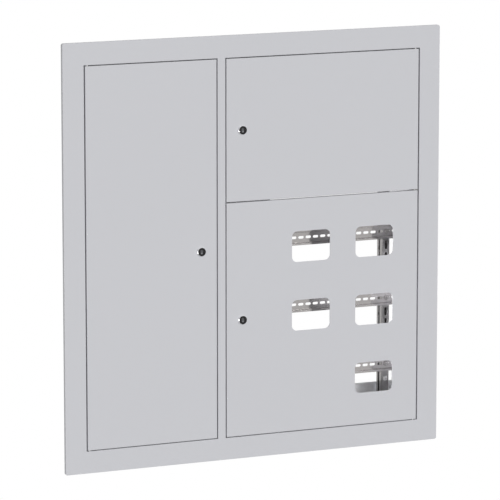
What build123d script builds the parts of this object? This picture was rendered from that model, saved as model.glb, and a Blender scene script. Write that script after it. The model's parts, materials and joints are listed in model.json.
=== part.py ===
from build123d import *
import os

# Flush floor distribution board, in millimetres.
# +X is to the right, +Y goes back into the wall, +Z is up.
# The origin is the centre of the four fixing holes on the rear plane, so the front is at negative Y.

# Overall sizes
overall_width = 950.0
overall_height = 1000.0
overall_depth = 130.0
box_inset = 58.0

# Sheet
frame_sheet = 1.5
wall_sheet = 1.2
door_sheet = 1.2
bend_radius = 1.0

# Front frame
lip_depth = 8.6
trim_corner_radius = 5.0
trim_width = 51.9
mullion_width = 19.6
mullion_centre = -84.5
reveal_depth = 16.0
stop_width = 18.0
mullion_stop_width = 9.0

# Doors
hinge_side_gap = 2.9
free_side_gap = 2.4
top_gap = 2.3
bottom_gap = 1.9
middle_gap = 2.6
middle_gap_height = 110.0
door_depth = 10.0
door_edge_radius = 1.2

# Pivot hinges
pivot_inset = 6.7
pivot_depth = 5.0
pivot_radius = 2.5
pivot_running_clearance = 0.1
pivot_collar_radius = 3.7
pivot_collar_height = 3.0
pivot_length_past_reveal = 2.0
pivot_tip_round = 0.6
hinge_tab_sheet = 1.2
hinge_tab_width = 12.0
hinge_tab_leg = 15.0
hinge_tab_reach = 14.6
hinge_tab_front = 1.5

# Cam locks
lock_inset = 39.6
lock_collar_radius = 10.4
lock_collar_proud = 4.5
lock_collar_round = 0.8
lock_body_radius = 7.9
lock_body_length = 17.5
lock_face_bore_radius = 9.4
lock_face_bore_depth = 3.6
lock_core_radius = 4.2
lock_core_head_clearance = 0.15
lock_core_recess = 0.6
lock_core_thread_depth = 8.0
lock_running_clearance = 0.1
lock_nut_across_flats = 22.0
lock_nut_height = 4.0
lock_seat_clearance = 0.1
key_slot_width = 6.6
key_slot_height = 11.4
key_slot_depth = 2.0
cam_clearance = 0.8
cam_thickness = 2.0
cam_width = 16.0
cam_reach = 39.0
cam_square = 6.0
cam_square_clearance = 0.05
cam_screw_head_radius = 4.5
cam_screw_head_height = 2.4
cam_screw_length = 7.0

# Meter windows in the lower right door
window_width = 97.8
window_height = 73.3
window_corner_radius = 13.0
window_pitch = 164.0
window_post_offset = 59.4
window_lowest_height = 107.7

# Posts and top-hat rails
post_width = 20.0
post_depth = 30.0
post_sheet = 1.5
post_front_depth = 60.0
post_front_lip = 12.0
post_rear_lip = 9.5
post_wall_distance = 50.5
post_partition_distance = 36.0
post_slot_pitch = 26.8
post_slot_height = 20.0
post_slot_width = 5.5
post_slot_screw_offset = 7.3
post_plain_end = 115.0
post_top_margin = 20.0
rail_height = 35.0
rail_web_height = 27.0
rail_deep = 7.5
rail_sheet = 1.0
rail_bend = 0.8
rail_steps = 6
rail_lowest_height = 124.2
rail_overhang = 38.0
rail_left_overhang = 4.0
rail_slot_offset = 2.9
rail_slot_pitch = 18.8
rail_slot_length = 14.0
rail_slot_height = 6.2
breaker_rail_lowest = 205.0
breaker_rail_spacing = 150.0
breaker_slot_steps = 2

# Posts' feet
foot_height = 100.0
foot_length = 26.0
foot_side_clearance = 1.7
foot_screw_height = 87.0

# Folded flanges of the box
channel_rear_flange = 65.0
front_flange = 10.0
partition_flange = 7.0
fixing_hole_radius = 4.5
fixing_hole_inset_x = 57.0
fixing_hole_inset_z = 21.0
cable_entry_width = 60.0
cable_entry_depth = 30.0
cable_entry_centre = 84.0
cable_entry_offset = 90.0
cable_pass_spacing = 273.3
cable_pass_height = 90.0
cable_pass_depth = 40.0

# Rear plates
plate_sheet = 1.2
plate_overlap = 22.0
meter_plate_edge = 94.0
panel_side_clearance = 14.0
plate_side_clearance = 1.0
panel_slot_length = 24.0
panel_slot_width = 6.0
panel_slot_rows = 6
panel_slot_columns = 4
panel_slot_spread = 0.8

# Breaker cover
cover_front_depth = 36.0
cover_sheet = 1.2
cover_foot = 14.0
cover_margin = 40.0
breaker_slot_height = 45.5
breaker_slot_width = 306.0

# Terminal bars
bar_length = 110.0
bar_section = 10.0
bar_support_length = 12.0
bar_support_width = 16.0
bar_support_taper = 4.0
bar_post_clearance = 5.6
bar_support_margin = 8.0
bar_hole_radius = 2.8
bar_hole_count = 6
bar_screw_depth = 7.0
bar_screw_head_radius = 3.7
bar_screw_head_height = 2.2
bar_screw_slot_width = 0.9
bar_screw_slot_depth = 1.0
neutral_bar_height = 40.0
earth_bar_height = -40.0

# Fasteners
screw_radius = 2.5
screw_head_radius = 4.75
screw_head_height = 3.0
screw_head_round = 1.35
screw_recess_length = 5.2
screw_recess_width = 1.1
screw_recess_depth = 1.5
screw_hole_clearance = 0.25
nut_across_flats = 8.0
nut_height = 3.2
screw_tail = 2.0
stud_radius = 3.0
stud_length = 18.0
stud_setback = 14.0
left_stud_offset = 60.0
right_stud_offset = 90.0

# Cutters reach this far past a sheet
cut_past = 1.0

# Places worked out from the sizes
half_width = overall_width / 2
half_height = overall_height / 2
wall_x = half_width - box_inset
wall_z = half_height - box_inset
opening_right = half_width - trim_width
opening_left = -opening_right
opening_top = half_height - trim_width
opening_bottom = -opening_top
mullion_left = mullion_centre - mullion_width / 2
mullion_right = mullion_centre + mullion_width / 2
stop_rear = reveal_depth + frame_sheet
shelf_top = middle_gap_height + wall_sheet / 2
shelf_bottom = middle_gap_height - wall_sheet / 2
upper_door_bottom = middle_gap_height + middle_gap / 2
lower_door_top = middle_gap_height - middle_gap / 2
rear_flange_front = overall_depth - wall_sheet
channel_floor = wall_z - wall_sheet
rail_pitch = rail_steps * post_slot_pitch
right_post_centre = wall_x - post_wall_distance
post_room = right_post_centre - mullion_centre - post_partition_distance
post_span_steps = breaker_slot_steps * int(post_room / (breaker_slot_steps * rail_slot_pitch))
rail_rear_depth = post_front_depth
left_post_centre = right_post_centre - post_span_steps * rail_slot_pitch
plate_front_depth = overall_depth - wall_sheet - plate_sheet
bar_front_depth = post_front_depth + post_depth + bar_post_clearance
bar_support_height = plate_front_depth - bar_front_depth - bar_section
fixing_hole_x = wall_x - fixing_hole_inset_x
fixing_hole_z = wall_z - fixing_hole_inset_z
cam_front_depth = stop_rear + cam_clearance
cam_rear_depth = cam_front_depth + cam_thickness
doors = {
    "left": (opening_left + hinge_side_gap, mullion_left - free_side_gap,
             opening_bottom + bottom_gap, opening_top - top_gap),
    "upper": (mullion_right + free_side_gap, opening_right - hinge_side_gap,
              upper_door_bottom, opening_top - top_gap),
    "lower": (mullion_right + free_side_gap, opening_right - hinge_side_gap,
              opening_bottom + bottom_gap, lower_door_top),
}
right_pivot_x = doors["upper"][1] - pivot_inset
left_pivot_x = doors["left"][0] + pivot_inset
lowest_rail = rail_lowest_height - channel_floor
meter_rail_heights = [lowest_rail + row * rail_pitch for row in (2, 1, 0)]
window_columns = [right_post_centre - window_post_offset - column * window_pitch for column in (1, 0)]
window_rows = [window_lowest_height - channel_floor + row * window_pitch for row in (2, 1, 0)]
breaker_rail_heights = [breaker_rail_lowest + row * breaker_rail_spacing for row in range(2)]


def front_rect(x0, x1, z0, z1, radius=0.0):
    """A rectangle drawn in the front view."""
    shape = Rectangle(x1 - x0, z1 - z0)
    if radius > 0:
        shape = RectangleRounded(x1 - x0, z1 - z0, radius)
    return Pos((x0 + x1) / 2, (z0 + z1) / 2) * shape


def side_rect(near, far, z0, z1):
    """A rectangle drawn in the side view, depth against height."""
    return Pos((near + far) / 2, (z0 + z1) / 2) * Rectangle(far - near, abs(z1 - z0))


def slab(sketch, near, far):
    """A front-view sketch given thickness between two depths behind the trim's face."""
    base = Plane(origin=(0, far - overall_depth, 0), x_dir=(1, 0, 0), z_dir=(0, -1, 0))
    return extrude(base * sketch, far - near)


def plan_prism(sketch, low, high):
    """A plan-view sketch, X against depth, carried up from one height to another."""
    base = Plane(origin=(0, -overall_depth, low), x_dir=(1, 0, 0), z_dir=(0, 0, 1))
    return extrude(base * sketch, high - low)


def side_prism(sketch, left, right):
    """A side-view sketch, depth against height, carried from left to right."""
    base = Plane(origin=(left, -overall_depth, 0), x_dir=(0, 1, 0), z_dir=(1, 0, 0))
    return extrude(base * sketch, right - left)


def folded(points, sheet, side=Side.LEFT):
    """The section of a folded sheet: its outer line, with bends, thickened to one side."""
    line = FilletPolyline(*points, radius=bend_radius + sheet)
    return make_face(offset(line, amount=sheet, side=side).edges())


def disc_between(x, z, radius, near, far):
    """A round bar that points to the front, between two depths."""
    return slab(Pos(x, z) * Circle(radius), near, far)


def pan_head_screw(x, z, head_seat, tail_end):
    """A pan-head screw driven from the front: domed head with a cross recess, plain shank."""
    head = disc_between(x, z, screw_head_radius, head_seat - screw_head_height, head_seat)
    rim = head.edges().group_by(Axis.Y)[0]
    head = fillet(rim, screw_head_round)
    bar = Rectangle(screw_recess_length, screw_recess_width)
    cross = Pos(x, z) * (bar + Rot(0, 0, 90) * bar)
    top = head_seat - screw_head_height
    head -= slab(cross, top, top + screw_recess_depth)
    return head + disc_between(x, z, screw_radius, head_seat, tail_end)


def hexagon_nut(x, z, near, height, across_flats, bore_radius):
    """A hexagon nut that faces the front."""
    outline = RegularPolygon(across_flats / 2, 6, major_radius=False) - Circle(bore_radius)
    return slab(Pos(x, z) * outline, near, near + height)


def front_frame():
    """Trim with a shallow lip, two openings with reveals and a stop flange round each."""
    tray = slab(RectangleRounded(overall_width, overall_height, trim_corner_radius), 0, lip_depth)
    rim = tray.edges().group_by(Axis.Y)[0]
    tray = fillet(rim, bend_radius)
    inner = RectangleRounded(overall_width - 2 * frame_sheet, overall_height - 2 * frame_sheet,
                             trim_corner_radius - frame_sheet)
    frame = tray - slab(inner, frame_sheet, lip_depth)
    bays = [
        (opening_left, mullion_left, stop_width, mullion_stop_width),
        (mullion_right, opening_right, mullion_stop_width, stop_width),
    ]
    for left, right, left_stop, right_stop in bays:
        opening = front_rect(left, right, opening_bottom, opening_top)
        around = front_rect(left - frame_sheet, right + frame_sheet,
                            opening_bottom - frame_sheet, opening_top + frame_sheet)
        clear = front_rect(left + left_stop, right - right_stop,
                           opening_bottom + stop_width, opening_top - stop_width)
        frame += slab(around, frame_sheet, stop_rear)
        frame -= slab(opening, 0, reveal_depth)
        frame -= slab(clear, reveal_depth, stop_rear)
        mouth = frame.edges().filter_by(lambda e: abs(e.center().Y + overall_depth) < 0.01)
        mouth = mouth.filter_by(lambda e: left - 0.01 < e.center().X < right + 0.01)
        mouth = mouth.filter_by(lambda e: opening_bottom - 0.01 < e.center().Z < opening_top + 0.01)
        frame = fillet(mouth, bend_radius)
    hole = pivot_radius + pivot_running_clearance
    for x, z in ((left_pivot_x, opening_top), (left_pivot_x, opening_bottom),
                 (right_pivot_x, opening_top), (right_pivot_x, opening_bottom)):
        frame -= Pos(x, pivot_depth - overall_depth, z) * Cylinder(hole, 4 * frame_sheet)
    slot = side_rect(hinge_tab_front, hinge_tab_front + hinge_tab_width,
                     middle_gap_height - hinge_tab_sheet / 2, middle_gap_height + hinge_tab_sheet / 2)
    return frame - side_prism(slot, opening_right - frame_sheet, opening_right + 2 * frame_sheet)


def hinge_tab():
    """A folded tab through the right reveal that carries the pivot between the right doors."""
    outer = opening_right + frame_sheet + hinge_tab_sheet
    top = middle_gap_height + hinge_tab_sheet / 2
    outline = Polyline((opening_right - hinge_tab_reach, top), (outer, top), (outer, top - hinge_tab_leg),
                       (outer - hinge_tab_sheet, top - hinge_tab_leg),
                       (outer - hinge_tab_sheet, top - hinge_tab_sheet),
                       (opening_right - hinge_tab_reach, top - hinge_tab_sheet), close=True)
    tab = slab(make_face(outline), hinge_tab_front, hinge_tab_front + hinge_tab_width)
    hole = Cylinder(pivot_radius, 3 * hinge_tab_sheet)
    return tab - Pos(right_pivot_x, pivot_depth - overall_depth, middle_gap_height) * hole


def middle_pivot_pin():
    """A riveted pin in the hinge tab, with a thin collar on top that the upper door stands on."""
    reach = middle_gap / 2 + door_sheet + pivot_length_past_reveal
    pin = Cylinder(pivot_radius, 2 * reach)
    collar = middle_gap / 2 - hinge_tab_sheet / 2 - pivot_running_clearance
    pin += Pos(0, 0, hinge_tab_sheet / 2 + collar / 2) * Cylinder(pivot_collar_radius, collar)
    return Pos(right_pivot_x, pivot_depth - overall_depth, middle_gap_height) * pin


def side_wall(side):
    """A side wall whose front edge is folded inward and lies on the back of the stop flange."""
    outer = side * wall_x
    points = [(outer - side * (front_flange + wall_sheet), stop_rear), (outer, stop_rear),
              (outer, overall_depth)]
    section = folded(points, wall_sheet, Side.LEFT if side > 0 else Side.RIGHT)
    return plan_prism(section, -channel_floor, channel_floor)


def channel(side):
    """The top or bottom channel: cable entries in its web, fixing holes in its wide rear flange."""
    outer = side * wall_z
    points = [(stop_rear, outer - side * (front_flange + wall_sheet)), (stop_rear, outer),
              (overall_depth, outer), (overall_depth, outer - side * (channel_rear_flange + wall_sheet))]
    section = folded(points, wall_sheet, Side.RIGHT if side > 0 else Side.LEFT)
    body = side_prism(section, -wall_x, wall_x)
    fold_room = front_flange + wall_sheet
    rear_reach = channel_rear_flange + 4 * wall_sheet
    for corner in (-1, 1):
        notch = corner_rect(corner, side, fold_room, fold_room)
        body -= slab(notch, stop_rear - wall_sheet, stop_rear + wall_sheet + bend_radius)
        flank = corner_rect(corner, side, wall_sheet, rear_reach)
        body -= slab(flank, overall_depth - 3 * wall_sheet, overall_depth + wall_sheet)
        body -= disc_between(corner * fixing_hole_x, side * fixing_hole_z, fixing_hole_radius,
                             plate_front_depth, overall_depth + wall_sheet)
    screw_hole = screw_radius + screw_hole_clearance
    for x, z in plate_screw_places(*panel_edges()) + plate_screw_places(*meter_plate_edges()):
        if z * side > 0:
            body -= disc_between(x, z, screw_hole, plate_front_depth, overall_depth + wall_sheet)
    for x in [(opening_left + mullion_left) / 2] + shelf_entries():
        outline = Pos(x, cable_entry_centre) * SlotOverall(cable_entry_width, cable_entry_depth)
        body -= plan_prism(outline, outer - 2 * wall_sheet, outer + 2 * wall_sheet)
    return body


def corner_rect(corner, side, width, height):
    """A front-view rectangle in one of the box's four corners, inside the channel's floor."""
    x0, x1 = sorted((corner * wall_x, corner * (wall_x - width)))
    z0, z1 = sorted((side * channel_floor, side * (channel_floor - height)))
    return front_rect(x0, x1, z0, z1)


def shelf_entries():
    """Places along X of the cable entries in the right compartments."""
    middle = (left_post_centre + right_post_centre) / 2
    return [middle - cable_entry_offset, middle + cable_entry_offset]


def compartment_partition():
    """The wall behind the mullion, with a front flange inside it and openings for wires."""
    face = mullion_centre
    points = [(face + partition_flange, frame_sheet), (face, frame_sheet), (face, rear_flange_front)]
    section = folded(points, wall_sheet, Side.RIGHT)
    body = plan_prism(section, -channel_floor, channel_floor)
    flange_room = front_flange + bend_radius + wall_sheet
    for side in (-1, 1):
        corner = side_rect(0, stop_rear + flange_room / 3, side * (channel_floor - flange_room),
                           side * (channel_floor + cut_past))
        heel = side_rect(rear_flange_front - 2 * bend_radius, overall_depth,
                         side * (channel_floor - 2 * bend_radius), side * (channel_floor + cut_past))
        body -= side_prism(corner, face - partition_flange, face + 2 * partition_flange)
        body -= side_prism(heel, face - partition_flange, face + 2 * partition_flange)
    for step in (-1, 0, 1):
        window = SlotOverall(cable_pass_height, cable_pass_depth, rotation=90)
        window = Pos(post_front_depth + cable_pass_depth / 2, step * cable_pass_spacing) * window
        body -= side_prism(window, face - wall_sheet, face + 2 * wall_sheet)
    return body


def shelf():
    """The level sheet between the right compartments, its front edge folded up."""
    points = [(stop_rear, shelf_bottom + front_flange), (stop_rear, shelf_bottom),
              (plate_front_depth, shelf_bottom)]
    section = folded(points, wall_sheet, Side.LEFT)
    left = mullion_centre + wall_sheet
    body = side_prism(section, left, wall_x - wall_sheet)
    notch = front_rect(wall_x - 2 * wall_sheet - front_flange, wall_x,
                       shelf_bottom - wall_sheet, shelf_top + front_flange)
    body -= slab(notch, stop_rear - wall_sheet, stop_rear + wall_sheet + bend_radius)
    for x in shelf_entries():
        outline = Pos(x, cable_entry_centre) * SlotOverall(cable_entry_width, cable_entry_depth)
        body -= plan_prism(outline, shelf_bottom - wall_sheet, shelf_top + wall_sheet)
    return body


def post(centre, mouth, low, high, slot_heights, screw_heights):
    """A lipped channel post with a slotted front web, open on one side."""
    open_x = centre + mouth * post_width / 2
    back_x = centre - mouth * post_width / 2
    front = post_front_depth
    rear = post_front_depth + post_depth
    points = [(open_x, front + post_front_lip), (open_x, front), (back_x, front), (back_x, rear),
              (open_x, rear), (open_x, rear - post_rear_lip)]
    section = folded(points, post_sheet, Side.LEFT if mouth < 0 else Side.RIGHT)
    body = plan_prism(section, low, high)
    holes = [Pos(centre, z) * SlotOverall(post_slot_height, post_slot_width, rotation=90)
             for z in slot_heights]
    holes += [Pos(centre, z) * Circle(screw_radius + screw_hole_clearance) for z in screw_heights]
    body -= slab(Sketch() + holes, front - cut_past, front + post_sheet + cut_past)
    return body


def slot_places(low, high, pitch):
    """Slot heights in step with the post's slot pattern between two heights."""
    places = []
    place = meter_rail_heights[0] - post_slot_screw_offset
    while place - pitch > low:
        place -= pitch
    while place < low:
        place += pitch
    while place < high:
        places.append(place)
        place += pitch
    return places


def foot(centre, level):
    """An angle foot inside the post's channel: upright behind the front web, sole on the channel."""
    near = post_front_depth + post_sheet
    half = post_width / 2 - post_sheet - foot_side_clearance
    upright = front_rect(centre - half, centre + half, level, level + foot_height)
    upright -= Pos(centre, level + foot_screw_height) * Circle(screw_radius + screw_hole_clearance)
    sole = front_rect(centre - half, centre + half, level, level + post_sheet)
    return slab(upright, near, near + post_sheet) + slab(sole, near, near + foot_length)


def top_hat_rail(z, slot_steps):
    """A perforated top-hat rail with its web at the back and its flanges at the front."""
    left, right = rail_ends()
    near = rail_rear_depth - rail_deep + rail_sheet
    far = rail_rear_depth
    points = [(near, z - rail_height / 2), (near, z - rail_web_height / 2), (far, z - rail_web_height / 2),
              (far, z + rail_web_height / 2), (near, z + rail_web_height / 2), (near, z + rail_height / 2)]
    line = FilletPolyline(*points, radius=rail_bend)
    section = make_face(offset(line, amount=rail_sheet, side=Side.LEFT).edges())
    rail = side_prism(section, left, right)
    start = left_post_centre + rail_slot_offset
    count = int((right - start - rail_slot_length / 2) / rail_slot_pitch) + 1
    holes = [Pos(start + step * rail_slot_pitch, z) * SlotOverall(rail_slot_length, rail_slot_height)
             for step in range(0, count, slot_steps)]
    return rail - slab(Sketch() + holes, far - 2 * rail_sheet, far + cut_past)


def rail_ends():
    """Left and right ends of every top-hat rail."""
    return left_post_centre - post_width / 2 - rail_left_overhang, right_post_centre + rail_overhang


def breaker_cover():
    """A cover folded back at its top and bottom to feet on the posts, slotted for the breakers."""
    low = breaker_rail_heights[0] - cover_margin
    high = breaker_rail_heights[-1] + cover_margin
    foot_depth = post_front_depth
    points = [(foot_depth, low - cover_foot), (foot_depth, low), (cover_front_depth, low),
              (cover_front_depth, high), (foot_depth, high), (foot_depth, high + cover_foot)]
    line = FilletPolyline(*points, radius=bend_radius)
    section = make_face(offset(line, amount=cover_sheet, side=Side.LEFT).edges())
    left = left_post_centre - post_width / 2
    right = right_post_centre + post_width / 2
    cover = side_prism(section, left, right)
    middle = (left + right) / 2
    for z in breaker_rail_heights:
        mouth = front_rect(middle - breaker_slot_width / 2, middle + breaker_slot_width / 2,
                           z - breaker_slot_height / 2, z + breaker_slot_height / 2)
        cover -= slab(mouth, cover_front_depth - 2 * cover_sheet, cover_front_depth + cut_past)
    for x, z in cover_screw_places():
        cover -= disc_between(x, z, screw_radius + screw_hole_clearance,
                              foot_depth - 2 * cover_sheet, foot_depth + cut_past)
    return cover


def cover_screw_places():
    """The four screws that hold the breaker cover to the upper posts."""
    low = breaker_rail_heights[0] - cover_margin - cover_foot / 2 - cover_sheet / 2
    high = breaker_rail_heights[-1] + cover_margin + cover_foot / 2 + cover_sheet / 2
    return [(x, z) for x in (left_post_centre, right_post_centre) for z in (low, high)]


def rear_plate(left, right, slots):
    """A flat plate screwed to the rear flanges of the top and bottom channels."""
    reach = channel_floor - channel_rear_flange + plate_overlap
    outline = front_rect(left, right, -reach, reach)
    for x, z in plate_screw_places(left, right):
        outline -= Pos(x, z) * Circle(screw_radius + screw_hole_clearance)
    if slots:
        for row in range(panel_slot_rows):
            for column in range(panel_slot_columns):
                x = left + (right - left) * (column + 0.5) / panel_slot_columns
                z = reach * panel_slot_spread * (2 * row / (panel_slot_rows - 1) - 1)
                outline -= Pos(x, z) * SlotOverall(panel_slot_length, panel_slot_width)
    return slab(outline, rear_flange_front - plate_sheet, rear_flange_front)


def plate_screw_places(left, right):
    """The four corner screws of a rear plate, in the middle of its overlap."""
    height = channel_floor - channel_rear_flange + plate_overlap / 2
    return [(x, z) for x in (left + plate_overlap / 2, right - plate_overlap / 2) for z in (-height, height)]


def panel_edges():
    """Left and right edges of the equipment panel."""
    return -wall_x + wall_sheet + panel_side_clearance, mullion_centre - panel_side_clearance


def meter_plate_edges():
    """Left and right edges of the plate behind the meters' left side."""
    return mullion_centre + wall_sheet + plate_side_clearance, meter_plate_edge


def terminal_bar(z):
    """A square bar with clamp holes along its front face."""
    centre = meter_plate_middle()
    outline = Pos(centre, z) * Rectangle(bar_length, bar_section)
    for x in bar_hole_places():
        outline -= Pos(x, z) * Circle(bar_hole_radius)
    return slab(outline, bar_front_depth, bar_front_depth + bar_section)


def bar_hole_places():
    """Clamp screws between the bar's supports."""
    span = bar_length - 2 * (bar_support_length + bar_support_margin)
    centre = meter_plate_middle()
    return [centre - span / 2 + span * step / (bar_hole_count - 1) for step in range(bar_hole_count)]


def meter_plate_middle():
    """Middle of the plate behind the meters' left side."""
    return (mullion_centre + wall_sheet + meter_plate_edge) / 2


def bar_support(x, z):
    """A moulded block between the bar and the rear plate, tapered towards the bar."""
    far = plate_front_depth
    base = Plane(origin=(x, far - overall_depth, z), x_dir=(1, 0, 0), z_dir=(0, -1, 0))
    foot_print = base * Rectangle(bar_support_length, bar_support_width)
    return extrude(foot_print, bar_support_height, taper=bar_support_taper)


def bar_screw(x, z):
    """A clamp screw sunk in the bar, its slotted head proud of the front face."""
    near = bar_front_depth
    shank = disc_between(x, z, bar_hole_radius, near, near + bar_screw_depth)
    top = near - bar_screw_head_height
    head = disc_between(x, z, bar_screw_head_radius, top, near)
    slot = Rectangle(3 * bar_screw_head_radius, bar_screw_slot_width)
    head -= slab(Pos(x, z) * slot, top, top + bar_screw_slot_depth)
    return head + shank


def earth_stud(x):
    """A welded stud that stands on the bottom channel."""
    depth = stop_rear + front_flange + stud_setback
    base = Pos(x, depth - overall_depth, -channel_floor + stud_length / 2)
    return base * Cylinder(stud_radius, stud_length)


def door(name):
    """A door folded to a shallow pan, with holes for its pivots and its lock."""
    left, right, bottom, top = doors[name]
    pan = slab(front_rect(left, right, bottom, top), 0, door_depth)
    pan = fillet(pan.edges().group_by(Axis.Y)[0], door_edge_radius)
    hollow = front_rect(left + door_sheet, right - door_sheet, bottom + door_sheet, top - door_sheet)
    pan -= slab(hollow, door_sheet, door_depth)
    pivot_x = left_pivot_x if name == "left" else right_pivot_x
    pan -= (Pos(pivot_x, pivot_depth - overall_depth, (bottom + top) / 2)
            * Cylinder(pivot_radius + pivot_running_clearance, top - bottom + 2 * cut_past))
    x, z = lock_place(name)
    pan -= disc_between(x, z, lock_body_radius + lock_seat_clearance, -cut_past, door_sheet + cut_past)
    if name == "lower":
        mouth = RectangleRounded(window_width, window_height, window_corner_radius)
        for column, row in window_places():
            place = Pos(window_columns[column], window_rows[row])
            pan -= slab(place * mouth, -cut_past, door_sheet + cut_past)
    return pan


def window_places():
    """Column and row of each meter window: two columns, the last row on the right only."""
    return [(column, row) for row in range(3) for column in range(2) if column == 1 or row < 2]


def lock_place(name):
    """Centre of a door's lock: a fixed distance from its free edge, at half its height."""
    left, right, bottom, top = doors[name]
    x = right - lock_inset if name == "left" else left + lock_inset
    return x, (bottom + top) / 2


def hinge_pin(x, edge, outward):
    """A shouldered pivot that goes from inside the door through its flange and into the reveal."""
    inner = edge - outward * (door_sheet + pivot_collar_height)
    shoulder = edge - outward * door_sheet
    gap = top_gap if outward > 0 else bottom_gap
    tip = edge + outward * (gap + frame_sheet + pivot_length_past_reveal)
    shank = Cylinder(pivot_radius, abs(tip - inner))
    shank = fillet(shank.edges().group_by(Axis.Z)[-1 if outward > 0 else 0], pivot_tip_round)
    pin = Pos(x, pivot_depth - overall_depth, (tip + inner) / 2) * shank
    collar = Cylinder(pivot_collar_radius, abs(shoulder - inner))
    return pin + Pos(x, pivot_depth - overall_depth, (shoulder + inner) / 2) * collar


def lock_housing(x, z):
    """Collar on the door's face, sunk for the core's head, and a bored body behind it."""
    collar = disc_between(x, z, lock_collar_radius, -lock_collar_proud, 0)
    collar = fillet(collar.edges().group_by(Axis.Y)[0], lock_collar_round)
    housing = collar + disc_between(x, z, lock_body_radius, 0, lock_body_length)
    bore_floor = lock_face_bore_depth - lock_collar_proud
    housing -= disc_between(x, z, lock_face_bore_radius, -lock_collar_proud, bore_floor)
    return housing - disc_between(x, z, lock_core_radius + lock_running_clearance, bore_floor,
                                  lock_body_length)


def lock_nut(x, z):
    """The hexagon nut that draws the housing against the door."""
    return hexagon_nut(x, z, door_sheet, lock_nut_height, lock_nut_across_flats,
                       lock_body_radius + lock_seat_clearance)


def lock_core(x, z):
    """The turning core: a head with an upright key recess, a round shaft, a square neck for the cam."""
    front = lock_core_recess - lock_collar_proud
    back = lock_face_bore_depth - lock_collar_proud - lock_running_clearance
    head = disc_between(x, z, lock_face_bore_radius - lock_core_head_clearance, front, back)
    key_recess = Pos(x, z) * SlotOverall(key_slot_height, key_slot_width, rotation=90)
    head -= slab(key_recess, front, front + key_slot_depth)
    shaft = disc_between(x, z, lock_core_radius, back, cam_front_depth)
    neck = slab(Pos(x, z) * Rectangle(cam_square, cam_square), cam_front_depth, cam_rear_depth)
    core = head + shaft + neck
    return core - disc_between(x, z, screw_radius, cam_rear_depth - lock_core_thread_depth, cam_rear_depth)


def lock_cam(x, z):
    """The cam: a flat arm with round ends that stands upright while the lock is open."""
    round_end = cam_width / 2
    arm = Pos(x, z + (cam_reach - round_end) / 2) * SlotOverall(cam_reach + round_end, cam_width, rotation=90)
    hole = Pos(x, z) * Rectangle(cam_square + 2 * cam_square_clearance, cam_square + 2 * cam_square_clearance)
    return slab(arm - hole, cam_front_depth, cam_rear_depth)


def cam_screw(x, z):
    """The screw that holds the cam on the core's square neck."""
    head = disc_between(x, z, cam_screw_head_radius, cam_rear_depth, cam_rear_depth + cam_screw_head_height)
    return head + disc_between(x, z, screw_radius, cam_rear_depth - cam_screw_length, cam_rear_depth)


def save(name, shape):
    """Write one sub-part."""
    solids = Compound(label=name, children=list(shape)) if isinstance(shape, list) else shape
    export_step(solids, "parts/" + name + ".step")


def post_screw_places():
    """Each foot's screw, at the lower end of the lower posts."""
    level = -channel_floor
    return [(x, level + foot_screw_height) for x in (left_post_centre, right_post_centre)]


os.makedirs("parts", exist_ok=True)
save("front_frame", front_frame())
save("left_side_wall", side_wall(-1))
save("right_side_wall", side_wall(1))
save("top_channel", channel(1))
save("bottom_channel", channel(-1))
save("compartment_partition", compartment_partition())
save("shelf", shelf())
save("hinge_tab", hinge_tab())
save("middle_pivot_pin", middle_pivot_pin())

lower_slots = slot_places(post_plain_end - channel_floor, shelf_bottom - post_top_margin, post_slot_pitch)
upper_slots = slot_places(shelf_top + post_top_margin, channel_floor - post_top_margin, 2 * post_slot_pitch)
foot_screws = [-channel_floor + foot_screw_height]
upper_screws = breaker_rail_heights + [z for x, z in cover_screw_places() if x == left_post_centre]
save("lower_left_post",
     post(left_post_centre, 1, -channel_floor, shelf_bottom, lower_slots, foot_screws))
save("lower_right_post",
     post(right_post_centre, -1, -channel_floor, shelf_bottom, lower_slots, foot_screws))
save("upper_left_post",
     post(left_post_centre, 1, shelf_top, channel_floor, upper_slots, upper_screws))
save("upper_right_post",
     post(right_post_centre, -1, shelf_top, channel_floor, upper_slots, upper_screws))
save("post_feet", [foot(x, -channel_floor) for x in (left_post_centre, right_post_centre)])

for name, z in zip(("upper", "middle", "lower"), meter_rail_heights):
    save("meter_rail_" + name, top_hat_rail(z, 1))
for name, z in zip(("lower", "upper"), breaker_rail_heights):
    save("breaker_rail_" + name, top_hat_rail(z, breaker_slot_steps))
save("breaker_cover", breaker_cover())

web_depth = rail_rear_depth - rail_sheet
nut_depth = post_front_depth + post_sheet
screw_end = nut_depth + nut_height + screw_tail
rail_heights = meter_rail_heights + breaker_rail_heights
rail_fixings = [(x, z) for z in rail_heights for x in (left_post_centre, right_post_centre)]
save("rail_screws", [pan_head_screw(x, z, web_depth, screw_end) for x, z in rail_fixings])
save("rail_nuts", [hexagon_nut(x, z, nut_depth, nut_height, nut_across_flats, screw_radius)
                   for x, z in rail_fixings])
save("foot_screws", [pan_head_screw(x, z, post_front_depth, nut_depth + post_sheet + screw_tail)
                     for x, z in post_screw_places()])
save("cover_screws", [pan_head_screw(x, z, post_front_depth - cover_sheet, nut_depth + screw_tail)
                      for x, z in cover_screw_places()])

save("equipment_panel", rear_plate(*panel_edges(), True))
save("meter_plate", rear_plate(*meter_plate_edges(), False))
plate_screws = plate_screw_places(*panel_edges()) + plate_screw_places(*meter_plate_edges())
save("plate_screws", [pan_head_screw(x, z, plate_front_depth, overall_depth) for x, z in plate_screws])

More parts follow.
